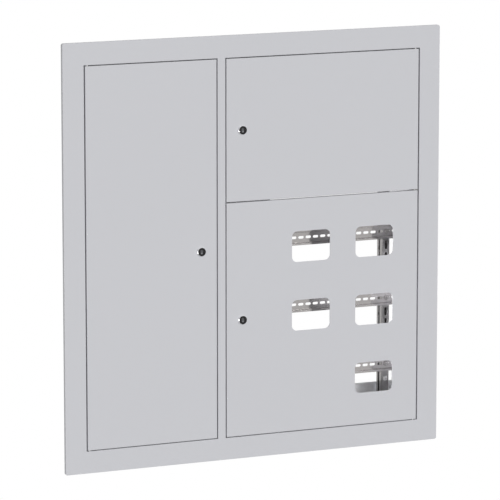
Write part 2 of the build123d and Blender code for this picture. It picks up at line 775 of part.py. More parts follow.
bar_ends = [meter_plate_middle() + side * (bar_length - bar_support_length) / 2 for side in (-1, 1)]
bar_heights = (neutral_bar_height, earth_bar_height)
save("neutral_bar", terminal_bar(neutral_bar_height))
save("earth_bar", terminal_bar(earth_bar_height))
save("bar_supports", [bar_support(x, z) for x in bar_ends for z in bar_heights])
save("bar_screws", [bar_screw(x, z) for x in bar_hole_places() for z in bar_heights])
stud_places = (mullion_left - left_stud_offset, mullion_right + right_stud_offset)
save("earth_studs", [earth_stud(x) for x in stud_places])

for name in doors:
    save(name + "_door", door(name))
    x, z = lock_place(name)
    save(name + "_lock_housing", lock_housing(x, z))
    save(name + "_lock_nut", lock_nut(x, z))
    save(name + "_lock_core", lock_core(x, z))
    save(name + "_lock_cam", lock_cam(x, z))
    save(name + "_cam_screw", cam_screw(x, z))
left_door_ends = ((doors["left"][3], 1), (doors["left"][2], -1))
save("left_hinge_pins", [hinge_pin(left_pivot_x, edge, outward) for edge, outward in left_door_ends])
save("upper_hinge_pin", hinge_pin(right_pivot_x, doors["upper"][3], 1))
save("lower_hinge_pin", hinge_pin(right_pivot_x, doors["lower"][2], -1))
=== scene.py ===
import json
import bpy
import numpy as np
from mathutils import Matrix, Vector


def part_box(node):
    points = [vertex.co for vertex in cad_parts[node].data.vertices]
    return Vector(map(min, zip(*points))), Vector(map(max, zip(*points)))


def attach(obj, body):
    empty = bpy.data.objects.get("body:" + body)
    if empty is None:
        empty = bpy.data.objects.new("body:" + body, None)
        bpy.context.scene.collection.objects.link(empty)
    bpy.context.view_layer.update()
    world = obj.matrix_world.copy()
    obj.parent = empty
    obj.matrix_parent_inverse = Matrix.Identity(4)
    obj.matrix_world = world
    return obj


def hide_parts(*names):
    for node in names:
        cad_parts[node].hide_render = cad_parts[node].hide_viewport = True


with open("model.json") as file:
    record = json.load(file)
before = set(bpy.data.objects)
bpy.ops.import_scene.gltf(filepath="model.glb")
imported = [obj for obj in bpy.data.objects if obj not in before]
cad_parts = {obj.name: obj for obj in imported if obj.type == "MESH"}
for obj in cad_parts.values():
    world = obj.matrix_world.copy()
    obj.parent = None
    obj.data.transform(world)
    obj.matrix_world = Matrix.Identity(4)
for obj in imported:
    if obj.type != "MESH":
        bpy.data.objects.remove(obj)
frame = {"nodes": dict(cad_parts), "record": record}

scene = bpy.context.scene
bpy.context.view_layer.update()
nodes = frame["nodes"]
mm = 0.001
print("board: frame loaded,", len(nodes), "sheet and fitting nodes")


# Camera, at the photograph's viewing angle
cameraSettings = {
    "place": (-3.3114, -7.7342, 1.4662),
    "lookAt": (-0.01311, -0.130, -0.00463),
    "lens": 260.3,
    "sensor": 36.0,
    "farClip": 60.0,
}


def makeCamera():
    data = bpy.data.cameras.new("camera")
    data.lens = cameraSettings["lens"]
    data.sensor_width = cameraSettings["sensor"]
    data.clip_end = cameraSettings["farClip"]
    eye = bpy.data.objects.new("camera", data)
    scene.collection.objects.link(eye)
    eye.location = cameraSettings["place"]
    look = Vector(cameraSettings["lookAt"]) - Vector(cameraSettings["place"])
    eye.rotation_euler = look.to_track_quat("-Z", "Y").to_euler()
    scene.camera = eye


makeCamera()
scene.view_settings.view_transform = "Standard"
print("board: camera placed")


# Light: a soft even room, a broad lamp from the front, a soft box behind the board's open back,
# and a gleam panel at the lower left that only reflections see
lightSettings = {
    "room": 0.46,             # how much the surroundings light the sheet
    "backdrop": 1.0,          # what the camera and the reflections see
    "lampStrength": 1.555,
    "lampSpread": 26.0,       # degrees
    "lampFrom": (0.17, -0.93, 0.32),
    "boxPower": 1.2,
    "boxSize": (0.08, 0.30),  # width and height
    "boxSpread": 50.0,        # degrees
    "boxPlace": (-0.05, 0.21, 0.12),
    "boxLooksAt": (0.41, -0.06, -0.20),
    "gleamPower": 9.5,
    "gleamSize": 0.6,
    "gleamPlace": (-1.16, -0.53, -0.27),
    "gleamLooksAt": (-0.13, -0.13, 0.0),
    "floorDrop": 0.75,        # below the board's middle, in metres
    "floorSize": 14.0,
    "floorTone": 0.80,
}


def seenRays(tree):
    # true for camera, glossy and transmission rays: the largest of the three
    path = tree.nodes.new("ShaderNodeLightPath")
    first = tree.nodes.new("ShaderNodeMath")
    first.operation = "MAXIMUM"
    second = tree.nodes.new("ShaderNodeMath")
    second.operation = "MAXIMUM"
    tree.links.new(path.outputs["Is Camera Ray"], first.inputs[0])
    tree.links.new(path.outputs["Is Glossy Ray"], first.inputs[1])
    tree.links.new(first.outputs[0], second.inputs[0])
    tree.links.new(path.outputs["Is Transmission Ray"], second.inputs[1])
    return second.outputs[0]


def makeRoom():
    world = bpy.data.worlds.new("studio")
    scene.world = world
    world.use_nodes = True
    tree = world.node_tree
    tree.nodes.clear()
    dim = tree.nodes.new("ShaderNodeBackground")
    dim.inputs["Strength"].default_value = lightSettings["room"]
    plain = tree.nodes.new("ShaderNodeBackground")
    plain.inputs["Strength"].default_value = lightSettings["backdrop"]
    for light in (dim, plain):
        light.inputs["Color"].default_value = (1, 1, 1, 1)
    mix = tree.nodes.new("ShaderNodeMixShader")
    out = tree.nodes.new("ShaderNodeOutputWorld")
    tree.links.new(seenRays(tree), mix.inputs[0])
    tree.links.new(dim.outputs[0], mix.inputs[1])
    tree.links.new(plain.outputs[0], mix.inputs[2])
    tree.links.new(mix.outputs[0], out.inputs[0])


def hangLamp(lamp, place, target):
    # the lamp looks from its place towards the target
    holder = bpy.data.objects.new(lamp.name, lamp)
    scene.collection.objects.link(holder)
    holder.location = place
    direction = Vector(target) - Vector(place)
    holder.rotation_euler = direction.to_track_quat("-Z", "Y").to_euler()
    return holder


def makeLamps():
    s = lightSettings
    lamp = bpy.data.lights.new("frontLamp", "SUN")
    lamp.energy = s["lampStrength"]
    lamp.angle = np.radians(s["lampSpread"])
    hangLamp(lamp, (0, 0, 0), -Vector(s["lampFrom"]))
    softBox = bpy.data.lights.new("softBox", "AREA")
    softBox.energy = s["boxPower"]
    softBox.shape = "RECTANGLE"
    softBox.size, softBox.size_y = s["boxSize"]
    softBox.spread = np.radians(s["boxSpread"])
    holder = hangLamp(softBox, s["boxPlace"], s["boxLooksAt"])
    holder.visible_camera = False
    gleam = bpy.data.lights.new("gleamPanel", "AREA")
    gleam.energy = s["gleamPower"]
    gleam.size = s["gleamSize"]
    holder = hangLamp(gleam, s["gleamPlace"], s["gleamLooksAt"])
    holder.visible_camera = False
    holder.visible_diffuse = False


def makeFloor():
    half = lightSettings["floorSize"] / 2
    low = -lightSettings["floorDrop"]
    mesh = bpy.data.meshes.new("floor")
    corners = [(-half, -half, low), (half, -half, low), (half, half, low), (-half, half, low)]
    mesh.from_pydata(corners, [], [(0, 1, 2, 3)])
    floor = bpy.data.objects.new("floor", mesh)
    scene.collection.objects.link(floor)
    material = bpy.data.materials.new("paleFloor")
    material.use_nodes = True
    tree = material.node_tree
    tree.nodes.clear()
    matt = tree.nodes.new("ShaderNodeBsdfDiffuse")
    tone = lightSettings["floorTone"]
    matt.inputs["Color"].default_value = (tone, tone, tone, 1)
    glow = tree.nodes.new("ShaderNodeEmission")
    glow.inputs["Strength"].default_value = lightSettings["backdrop"]
    mix = tree.nodes.new("ShaderNodeMixShader")
    out = tree.nodes.new("ShaderNodeOutputMaterial")
    tree.links.new(seenRays(tree), mix.inputs[0])
    tree.links.new(matt.outputs[0], mix.inputs[1])
    tree.links.new(glow.outputs[0], mix.inputs[2])
    tree.links.new(mix.outputs[0], out.inputs[0])
    mesh.materials.append(material)


makeRoom()
makeLamps()
makeFloor()
print("board: light and floor ready")


# Shader groups used by more than one finish. The material that uses a group sets all its inputs.
mixSockets = {"first": 6, "second": 7, "result": 2}   # the colour sockets of a mix node


def newGroup(name, scaleLabel, varyLabel):
    group = bpy.data.node_groups.new(name, "ShaderNodeTree")
    inputs = {"Vector": "NodeSocketVector", "Colour": "NodeSocketColor", scaleLabel: "NodeSocketFloat",
              varyLabel: "NodeSocketFloat", "Roughness": "NodeSocketFloat"}
    outputs = {"Colour": "NodeSocketColor", "Roughness": "NodeSocketFloat", "Height": "NodeSocketFloat"}
    for direction, sockets in (("INPUT", inputs), ("OUTPUT", outputs)):
        for label, kind in sockets.items():
            group.interface.new_socket(name=label, in_out=direction, socket_type=kind)
    return group, group.nodes.new("NodeGroupInput"), group.nodes.new("NodeGroupOutput")


def closeGroup(group, end, colour, rough, height):
    for label, value in (("Colour", colour), ("Roughness", rough), ("Height", height)):
        group.links.new(value, end.inputs[label])
    return group


def mathNode(tree, operation, first, second):
    node = tree.nodes.new("ShaderNodeMath")
    node.operation = operation
    for socket, value in zip(node.inputs, (first, second)):
        if isinstance(value, (int, float)):
            socket.default_value = value
        else:
            tree.links.new(value, socket)
    return node.outputs[0]


def swing(tree, value, depth):
    # how far a value lies from one half, times a depth
    return mathNode(tree, "MULTIPLY", mathNode(tree, "SUBTRACT", value, 0.5), depth)


def shadedColour(group, colour, factor):
    # the colour times a grey factor that varies about one
    mix = group.nodes.new("ShaderNodeMix")
    mix.data_type = "RGBA"
    mix.blend_type = "MULTIPLY"
    mix.inputs[0].default_value = 1.0
    group.links.new(colour, mix.inputs[mixSockets["first"]])
    combine = group.nodes.new("ShaderNodeCombineColor")
    for channel in combine.inputs:
        group.links.new(factor, channel)
    group.links.new(combine.outputs[0], mix.inputs[mixSockets["second"]])
    return mix.outputs[mixSockets["result"]]


def noiseAt(tree, vector, scale, detail):
    noise = tree.nodes.new("ShaderNodeTexNoise")
    noise.inputs["Detail"].default_value = detail
    if isinstance(scale, (int, float)):
        noise.inputs["Scale"].default_value = scale
    else:
        tree.links.new(scale, noise.inputs["Scale"])
    tree.links.new(vector, noise.inputs["Vector"])
    return noise.outputs[0]


# Powder coat: fine orange peel in the height, a slow drift in colour and in roughness
coatSettings = {
    "peelDetail": 1.5,
    "driftScale": 3.0,
    "driftDetail": 2.0,
    "roughDrift": 0.10,
    "speckScale": 1600.0,
    "speckDetail": 1.0,
    "speckDepth": 0.02,
}


def makeCoatGroup():
    s = coatSettings
    group, start, end = newGroup("powderCoat", "Peel Scale", "Drift")
    vector = start.outputs["Vector"]
    peel = noiseAt(group, vector, start.outputs["Peel Scale"], s["peelDetail"])
    slow = noiseAt(group, vector, s["driftScale"], s["driftDetail"])
    speck = noiseAt(group, vector, s["speckScale"], s["speckDetail"])
    away = mathNode(group, "ADD", swing(group, speck, s["speckDepth"]),
                    swing(group, slow, start.outputs["Drift"]))
    colour = shadedColour(group, start.outputs["Colour"], mathNode(group, "ADD", away, 1.0))
    rough = mathNode(group, "ADD", swing(group, slow, s["roughDrift"]), start.outputs["Roughness"])
    return closeGroup(group, end, colour, rough, peel)


# Zinc: flat crystals, each with its own tone and gloss, under drawn-out rolling marks
zincSettings = {
    "glossVary": 0.05,
    "markStretch": (1.0, 1.0, 26.0),
    "markScale": 55.0,
    "markDetail": 3.0,
    "markDepth": 0.06,
}


def makeZincGroup():
    s = zincSettings
    group, start, end = newGroup("zincCrystals", "Crystal Scale", "Contrast")
    vector = start.outputs["Vector"]
    cells = group.nodes.new("ShaderNodeTexVoronoi")
    group.links.new(vector, cells.inputs["Vector"])
    group.links.new(start.outputs["Crystal Scale"], cells.inputs["Scale"])
    tone = group.nodes.new("ShaderNodeSeparateColor")
    group.links.new(cells.outputs["Color"], tone.inputs[0])
    stretch = group.nodes.new("ShaderNodeMapping")
    stretch.inputs["Scale"].default_value = s["markStretch"]
    group.links.new(vector, stretch.inputs["Vector"])
    marks = noiseAt(group, stretch.outputs[0], s["markScale"], s["markDetail"])
    away = mathNode(group, "ADD", swing(group, tone.outputs[0], start.outputs["Contrast"]),
                    swing(group, marks, s["markDepth"]))
    colour = shadedColour(group, start.outputs["Colour"], mathNode(group, "ADD", away, 1.0))
    gloss = mathNode(group, "MULTIPLY", tone.outputs[1], s["glossVary"])
    rough = mathNode(group, "ADD", gloss, start.outputs["Roughness"])
    return closeGroup(group, end, colour, rough, marks)


coatGroup = makeCoatGroup()
zincGroup = makeZincGroup()


# Finishes: one row each. Names with an underscore are the record's material slots, the others are
# metals of this scene. Scale and vary set the group's pattern, bump and depth (in metres) its relief.
plainSpecular = 0.5
finishes = {
    "grey_paint": {"group": "coat", "colour": (0.578, 0.582, 0.610), "metal": 0.0, "rough": 0.48,
                   "scale": 420.0, "vary": 0.015, "bump": 0.035, "depth": 0.0004},
    "galvanised_sheet": {"group": "zinc", "colour": (0.70, 0.70, 0.71), "metal": 1.0, "rough": 0.42,
                         "scale": 110.0, "vary": 0.10, "bump": 0.02, "depth": 0.0001},
    "passivatedRail": {"group": "zinc", "colour": (0.375, 0.36, 0.355), "metal": 1.0, "rough": 0.12,
                       "scale": 300.0, "vary": 0.04, "bump": 0.01, "depth": 0.00005},
    # dark post zinc; on the hinge tab the same dark colour is painted shade
    "postZincAndTabShade": {"group": "zinc", "colour": (0.31, 0.30, 0.295), "metal": 1.0, "rough": 0.18,
                       "scale": 300.0, "vary": 0.04, "bump": 0.01, "depth": 0.00005},
    "brightCollar": {"group": "zinc", "colour": (0.80, 0.80, 0.81), "metal": 1.0, "rough": 0.14,
                     "scale": 900.0, "vary": 0.03, "bump": 0.01, "depth": 0.00005},
    "keyInsert": {"group": "zinc", "colour": (0.09, 0.09, 0.095), "metal": 1.0, "rough": 0.35,
                  "scale": 900.0, "vary": 0.20, "bump": 0.05, "depth": 0.0001},
    "plated_steel": {"group": "zinc", "colour": (0.66, 0.65, 0.64), "metal": 1.0, "rough": 0.12,
                     "scale": 900.0, "vary": 0.08, "bump": 0.02, "depth": 0.00005},
    "black_zinc": {"group": "coat", "colour": (0.010, 0.010, 0.011), "metal": 0.0, "rough": 0.32,
                   "scale": 1500.0, "vary": 0.20, "bump": 0.05, "depth": 0.0001, "specular": 0.22},
    "bar_brass": {"group": "zinc", "colour": (0.72, 0.52, 0.22), "metal": 1.0, "rough": 0.24,
                  "scale": 260.0, "vary": 0.08, "bump": 0.03, "depth": 0.0001},
    "support_plastic": {"group": "coat", "colour": (0.035, 0.045, 0.06), "metal": 0.0, "rough": 0.50,
                        "scale": 900.0, "vary": 0.10, "bump": 0.08, "depth": 0.0002},
}
groupSockets = {"coat": (coatGroup, "Peel Scale", "Drift"), "zinc": (zincGroup, "Crystal Scale", "Contrast")}


def makeFinish(name, style):
    material = bpy.data.materials.new(name)
    material.use_nodes = True
    tree = material.node_tree
    shader = tree.nodes["Principled BSDF"]
    place = tree.nodes.new("ShaderNodeTexCoord")
    pattern = tree.nodes.new("ShaderNodeGroup")
    pattern.node_tree, scaleName, varyName = groupSockets[style["group"]]
    pattern.inputs["Colour"].default_value = (*style["colour"], 1)
    pattern.inputs[scaleName].default_value = style["scale"]
    pattern.inputs[varyName].default_value = style["vary"]
    pattern.inputs["Roughness"].default_value = style["rough"]
    bump = tree.nodes.new("ShaderNodeBump")
    bump.inputs["Strength"].default_value = style["bump"]
    bump.inputs["Distance"].default_value = style["depth"]
    shader.inputs["Metallic"].default_value = style["metal"]
    shader.inputs["Specular IOR Level"].default_value = style.get("specular", plainSpecular)
    tree.links.new(place.outputs["Object"], pattern.inputs["Vector"])
    tree.links.new(pattern.outputs["Colour"], shader.inputs["Base Color"])
    tree.links.new(pattern.outputs["Roughness"], shader.inputs["Roughness"])
    tree.links.new(pattern.outputs["Height"], bump.inputs["Height"])
    tree.links.new(bump.outputs[0], shader.inputs["Normal"])
    return material


materials = {name: makeFinish(name, style) for name, style in finishes.items()}
slotOf = {row["node"]: row["material_slot"] for row in frame["record"]["subparts"]}
# rails and posts are a darker, passivated zinc, as in the photograph; feet follow the posts, and the hinge
# tab takes the same dark finish as painted shade in the door gap in front of it
for nodeName, node in nodes.items():
    finish = slotOf[nodeName]
    if "_rail_" in nodeName:
        finish = "passivatedRail"
    # on the hinge tab this dark finish is painted shade for the gap between the two right doors
    elif nodeName.endswith("_post") or nodeName in ("post_feet", "hinge_tab"):
        finish = "postZincAndTabShade"
    node.data.materials.clear()
    node.data.materials.append(materials[finish])
print("board: finishes on every node")


# Outlines in polar form: the distance from the axis at each angle
turn = 96            # angles round an axis
smallest = 1e-6      # keeps a ratio finite


def angles():
    return np.linspace(0.0, 2 * np.pi, turn, endpoint=False)


def circleOutline(radius):
    return np.full(turn, radius)


def polygonOutline(sides, acrossFlats, cornerRadius):
    # a flat side is its half width over the cosine of the angle from its middle, cut off at the corner radius
    step = 2 * np.pi / sides
    away = np.mod(angles() + step / 2, step) - step / 2
    return np.minimum(acrossFlats / 2 / np.cos(away), cornerRadius)


def barOutline(length, width, tilt=0.0):
    # the nearer of the bar's end and its side along each ray
    t = angles() - tilt
    return np.minimum(length / 2 / np.maximum(np.abs(np.cos(t)), smallest),
                      width / 2 / np.maximum(np.abs(np.sin(t)), smallest))


def crossOutline(length, width):
    # the farther of two crossed bars
    return np.maximum(barOutline(length, width), barOutline(length, width, np.pi / 2))


def slotOutline(width, low, high):
    # an upright slot with round ends at heights low and high: side planes between two end circles
    radius = width / 2
    c, s = np.cos(angles()), np.sin(angles())
    side = radius / np.maximum(np.abs(c), smallest)
    reach = np.where(s > 0, high - radius, -(low + radius))
    rise = np.abs(s)
    cap = reach * rise + np.sqrt(np.maximum(radius ** 2 - (reach * c) ** 2, 0.0))
    return np.where(side * rise <= reach, side, cap)


# Surfaces: a grid of stations along an axis by angles round it
def frontAxis(centre):
    # the axis runs back into the wall: angle 0 points right, a quarter turn points up
    def place(radius, depth):
        t = angles()
        return np.stack([centre[0] + radius * np.cos(t), np.broadcast_to(depth, radius.shape),
                         centre[1] + radius * np.sin(t)], axis=-1)
    return place


def uprightAxis(centre):
    # the axis runs up: angle 0 points right, a quarter turn points back
    def place(radius, height):
        t = angles()
        return np.stack([centre[0] + radius * np.cos(t), centre[1] + radius * np.sin(t),
                         np.broadcast_to(height, radius.shape)], axis=-1)
    return place


def loft(place, stations, closedRing, flip=False):
    # stations are (outline, depth) pairs in millimetres; a ring joins the last station to the first,
    # otherwise both ends close on the axis
    radius = np.array([outline for outline, depth in stations]) * mm
    along = np.array([depth for outline, depth in stations]) * mm
    along = along if along.ndim == 2 else along[:, None]
    points = place(radius, along)
    rows, columns = radius.shape
    r, c = np.meshgrid(np.arange(rows if closedRing else rows - 1), np.arange(columns), indexing="ij")
    nextRow, nextColumn = (r + 1) % rows, (c + 1) % columns
    quads = np.stack([r * columns + c, nextRow * columns + c, nextRow * columns + nextColumn,
                      r * columns + nextColumn], axis=-1).reshape(-1, 4)
    vertices = points.reshape(-1, 3)
    triangles = np.zeros((0, 3), int)
    if not closedRing:
        poles = points[[0, -1]].mean(axis=1)
        ring = np.arange(columns)
        ahead = (ring + 1) % columns
        top = np.full(columns, len(vertices))
        last = (rows - 1) * columns
        triangles = np.concatenate([np.stack([top, ring, ahead], axis=-1),
                                    np.stack([top + 1, last + ahead, last + ring], axis=-1)])
        vertices = np.concatenate([vertices, poles])
    if flip:
        quads, triangles = quads[:, ::-1], triangles[:, ::-1]
    return vertices, quads, triangles


sharpAngle = 28.0    # degrees; steeper edges stay crisp


def makePiece(name, surfaces, finish, body, stands):
    # joins the surfaces into one mesh, which rides on the body in the place of the CAD node
    vertices, faces, start = [], [], 0
    for points, quads, triangles in surfaces:
        vertices.append(points)
        faces += (quads + start).tolist() + (triangles + start).tolist()
        start += len(points)
    mesh = bpy.data.meshes.new(name)
    mesh.from_pydata(np.concatenate(vertices).tolist(), [], faces)
    mesh.materials.append(materials[finish])
    mesh.shade_smooth()
    mesh.set_sharp_from_angle(angle=np.radians(sharpAngle))
    mesh.update()
    piece = bpy.data.objects.new(name, mesh)
    scene.collection.objects.link(piece)
    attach(piece, body)
    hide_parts(stands)
    return piece


def edgeStations(outline, start, finish, chamfer):
    # a prism's stations with a chamfer at both ends
    return [(outline - chamfer, start), (outline, start + chamfer), (outline, finish - chamfer),
            (outline - chamfer, finish)]


ringsPerPitch = 6
fewestRings = 4


def threadStations(radius, start, finish, pitch, depth):
    # a helical thread: at each depth and angle the radius falls by a triangle wave of their combined phase
    count = max(int(abs(finish - start) / pitch * ringsPerPitch), fewestRings)
    along = np.linspace(start, finish, count)
    phase = (along[:, None] - start) / pitch - angles()[None, :] / (2 * np.pi)
    wave = np.abs(2 * (phase - np.floor(phase)) - 1)
    ease = np.clip(np.minimum(along - start, finish - along) / pitch, 0.0, 1.0)[:, None]
    return [(row, place) for row, place in zip(radius - depth * wave * ease, along)]


# Cam locks: a bright collar and a black core in the door, plated nut, cam and screw behind it.
# Depths are millimetres from the rear plane.
lockSettings = {
    "front": -134.4,          # the collar's face
    "face": -130.0,           # the door's face
    "rear": -112.5,
    "collarRadius": 10.4,
    "collarChamfer": 0.5,
    "collarFoot": 0.3,        # chamfer where the collar meets the door
    "faceBore": 9.85,
    "boreFloor": -130.9,
    "bodyRadius": 7.9,
    "bodyTaper": 0.7,         # how far the body draws in at its rear end
    "threadStart": 0.4,       # behind the door's face
    "threadEnd": 0.3,         # before the rear end
    "threadPitch": 1.5,
    "threadDepth": 0.6,
    "coreBore": 4.3,
}


def lockCentre(door):
    low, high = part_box(door + "_lock_housing")
    return (low.x + high.x) / 2, (low.z + high.z) / 2


def lockHousing(door):
    s = lockSettings
    collar, body, bore = (circleOutline(s[key]) for key in ("collarRadius", "bodyRadius", "coreBore"))
    stations = [(circleOutline(s["faceBore"]), s["boreFloor"]),
                (collar - s["collarChamfer"], s["front"]),
                (collar, s["front"] + s["collarChamfer"]),
                (collar, s["face"] - s["collarFoot"]),
                (collar - s["collarFoot"], s["face"]),
                (body, s["face"])]
    stations += threadStations(s["bodyRadius"], s["face"] + s["threadStart"], s["rear"] - s["threadEnd"],
                               s["threadPitch"], s["threadDepth"])
    stations += [(body - s["bodyTaper"], s["rear"]), (bore, s["rear"]), (bore, s["boreFloor"])]
    surface = loft(frontAxis(lockCentre(door)), stations, True)
    makePiece(door + "LockHousing", [surface], "brightCollar", door + "_door", door + "_lock_housing")


coreSettings = {
    "headRadius": 9.75,
    "headRound": 0.3,
    "headSteps": 5,
    "headFront": -134.3,
    "headRear": -131.0,
    "shaftRadius": 4.2,
    "neck": 6.0,              # the square that carries the cam, across its flats
    "neckCorner": 1.36,       # its corner radius over its half width
    "neckChamfer": 0.2,
    "camFront": -111.7,
    "camRear": -109.7,
    "keyWidth": 6.6,
    "keyHeight": 11.4,
    "keyDepth": 1.5,
    "keyDimple": 0.3,         # how far the middle lies below the recess's floor
    "dimpleShare": 0.4,       # the dimple's outline over the key's
    "floorShare": 0.9,        # the floor's outline over the key's
    "keyCorner": 0.2,         # bevel between floor and wall
    "keyDraft": 0.1,
    "rimDepth": 0.25,
    "rimFlare": 0.15,
    "bareMargin": 0.1,        # how far past the floor's depths the bare metal may lie
}


def lockCore(door):
    s = coreSettings
    centre = lockCentre(door)
    half = s["keyHeight"] / 2
    key = slotOutline(s["keyWidth"], -half, half)
    floor = s["headFront"] + s["keyDepth"]
    stations = [(key * s["dimpleShare"], floor + s["keyDimple"]),
                (key * s["floorShare"], floor),
                (key - s["keyCorner"], floor - s["keyCorner"]),
                (key - s["keyDraft"], s["headFront"] + s["rimDepth"]),
                (key + s["rimFlare"], s["headFront"])]
    stations += [(circleOutline(s["headRadius"] - s["headRound"] * (1 - np.sin(a))),
                  s["headFront"] + s["headRound"] * (1 - np.cos(a)))
                 for a in np.linspace(0.0, np.pi / 2, s["headSteps"])]
    shaft = circleOutline(s["shaftRadius"])
    neck = polygonOutline(4, s["neck"], s["neck"] / 2 * s["neckCorner"])
    stations += [(circleOutline(s["headRadius"]), s["headRear"]), (shaft, s["headRear"]),
                 (shaft, s["camFront"]), (neck, s["camFront"]),
                 (neck, s["camRear"] - s["neckChamfer"]), (neck - s["neckChamfer"], s["camRear"])]
    surface = loft(frontAxis(centre), stations, False)
    core = makePiece(door + "LockCore", [surface], "black_zinc", door + "_lock", door + "_lock_core")
    # bare metal on the floor of the key recess: faces that lie behind its edge and inside its outline
    mesh = core.data
    mesh.materials.append(materials["keyInsert"])
    middle = np.empty(len(mesh.polygons) * 3, np.float32)
    mesh.polygons.foreach_get("center", middle)
    middle = middle.reshape(-1, 3)
    away = np.hypot(middle[:, 0] - centre[0], middle[:, 2] - centre[1])
    near = floor - s["bareMargin"]
    far = floor + s["keyDimple"] + s["bareMargin"]
    bare = (away < half * mm) & (middle[:, 1] > near * mm) & (middle[:, 1] < far * mm)
    mesh.polygons.foreach_set("material_index", bare.astype(np.int32))


nutSettings = {
    "boreChamfer": 0.35,
    "faceReach": 1.02,        # the face's circle over half the width across the flats
    "cornerSlope": 0.6,       # depth of the cut at a corner over its width
    "lockClearance": 0.05,
    "railBore": 2.5,
}


def hexNutSurface(x, z, near, far, acrossFlats, bore):
    # a hexagon whose corners are cut by a cone at both faces
    s = nutSettings
    flat = polygonOutline(6, acrossFlats, acrossFlats / 2 / np.cos(np.pi / 6))
    cut = np.minimum(flat, acrossFlats / 2 * s["faceReach"])
    drop = (flat - cut) * s["cornerSlope"]
    hole, mouth = circleOutline(bore), circleOutline(bore + s["boreChamfer"])
    stations = [(hole, near + s["boreChamfer"]), (mouth, near), (cut, near), (flat, near + drop),
                (flat, far - drop), (cut, far), (mouth, far), (hole, far - s["boreChamfer"])]
    stations = [(outline, np.broadcast_to(depth, turn)) for outline, depth in stations]
    return loft(frontAxis((x * mm, z * mm)), stations, True)


def lockNut(door):
    low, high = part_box(door + "_lock_nut")
    x, z = (low.x + high.x) / 2 / mm, (low.z + high.z) / 2 / mm
    bore = lockSettings["bodyRadius"] + nutSettings["lockClearance"]
    surface = hexNutSurface(x, z, low.y / mm, high.y / mm, (high.z - low.z) / mm, bore)
    makePiece(door + "LockNut", [surface], "plated_steel", door + "_door", door + "_lock_nut")


camSettings = {"width": 16.0, "reach": 39.0, "chamfer": 0.25, "hole": 6.2}


def lockCam(door):
    # a flat arm with a square hole; its outline is an upright slot that reaches further up than down
    low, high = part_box(door + "_lock_cam")
    centre = ((low.x + high.x) / 2, low.z + camSettings["width"] / 2 * mm)
    arm = slotOutline(camSettings["width"], -camSettings["width"] / 2, camSettings["reach"])
    hole = polygonOutline(4, camSettings["hole"], camSettings["hole"])
    near, far = low.y / mm, high.y / mm
    stations = [(hole, far), (hole, near)] + edgeStations(arm, near, far, camSettings["chamfer"])
    surface = loft(frontAxis(centre), stations, True)
    makePiece(door + "LockCam", [surface], "plated_steel", door + "_lock", door + "_lock_cam")


# Screws: domed heads with a cross or a slot, threaded shanks. A share is of the head's radius or height.
screwSettings = {
    "panHeight": 3.0,
    "panShank": 2.45,
    "barHeight": 2.2,
    "barShank": 2.75,
    "crossLength": 5.4,
    "crossShare": 1.25,       # the most that a cross is long, of the radius
    "crossReach": 0.62,       # the most that it reaches out, of the radius
    "slotShare": 2.4,
    "slotReach": 0.99,
    "slotTilt": 0.4,          # radians
    "recessWidth": 1.15,
    "recessDepth": 1.5,
    "recessShare": 0.55,      # the most that a recess is deep, of the height
    "recessFloor": (0.5, 0.96),
    "domeFall": 0.5,          # how far the dome's rim lies inside the head, of the height
    "domeShare": 0.6,         # the dome's part of the height
    "domeSteps": 6,
    "flange": 1.2,            # how far the washer face stands out past the head
    "flangeHeight": 0.9,
    "flangeBevel": 0.3,
    "flangeSlope": (0.1, 0.4),  # how far the washer face has fallen before and after its bevel
    "threadGap": 0.3,
    "threadPitch": 0.8,
    "threadDepth": 0.42,
    "tipTaper": 0.5,
}


def screwSurface(x, z, tip, headFront, seat, tail, headRadius, shankRadius, slotted=False, flanged=False):
    # tip is 1 when the head faces the front and -1 when it faces the back
    s = screwSettings
    height = abs(seat - headFront)
    if slotted:
        recess = barOutline(headRadius * s["slotShare"], s["recessWidth"], s["slotTilt"])
    else:
        recess = crossOutline(min(s["crossLength"], headRadius * s["crossShare"]), s["recessWidth"])
    recess = np.minimum(recess, headRadius * s["slotReach" if slotted else "crossReach"])
    deep = headFront + tip * min(s["recessDepth"], height * s["recessShare"])
    rim = headRadius - s["domeFall"] * height
    head, shank = circleOutline(headRadius), circleOutline(shankRadius)
    stations = [(recess * share, deep) for share in s["recessFloor"]] + [(recess, headFront)]
    stations += [(circleOutline(rim + (headRadius - rim) * np.sin(a)),
                  headFront + tip * height * s["domeShare"] * (1 - np.cos(a)))
                 for a in np.linspace(0.0, np.pi / 2, s["domeSteps"])]
    if flanged:
        wide = head + s["flange"]
        rise = seat - tip * s["flangeHeight"]
        before, after = s["flangeSlope"]
        stations += [(head, rise), (wide - s["flangeBevel"], rise + tip * before), (wide, rise + tip * after),
                     (wide, seat)]
    else:
        stations += [(head, seat)]
    stations += [(shank, seat)]
    stations += threadStations(shankRadius, seat + tip * s["threadGap"], tail - tip * s["threadGap"],
                               s["threadPitch"], s["threadDepth"])
    stations += [(shank - s["tipTaper"], tail)]
    return loft(frontAxis((x * mm, z * mm)), stations, False, flip=tip < 0)


def camScrew(door):
    low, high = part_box(door + "_cam_screw")
    x, z = (low.x + high.x) / 2 / mm, (low.z + high.z) / 2 / mm
    headRadius = (high.x - low.x) / 2 / mm
    surface = screwSurface(x, z, -1, high.y / mm, coreSettings["camRear"], low.y / mm, headRadius,
                           screwSettings["panShank"])
    makePiece(door + "CamScrew", [surface], "plated_steel", door + "_lock", door + "_cam_screw")


for door in ("left", "upper", "lower"):
    lockHousing(door)
    lockCore(door)
    lockNut(door)
    lockCam(door)
    camScrew(door)
print("board: locks done")


weldDecimals = 5     # vertices that agree to this many decimals of a metre are one


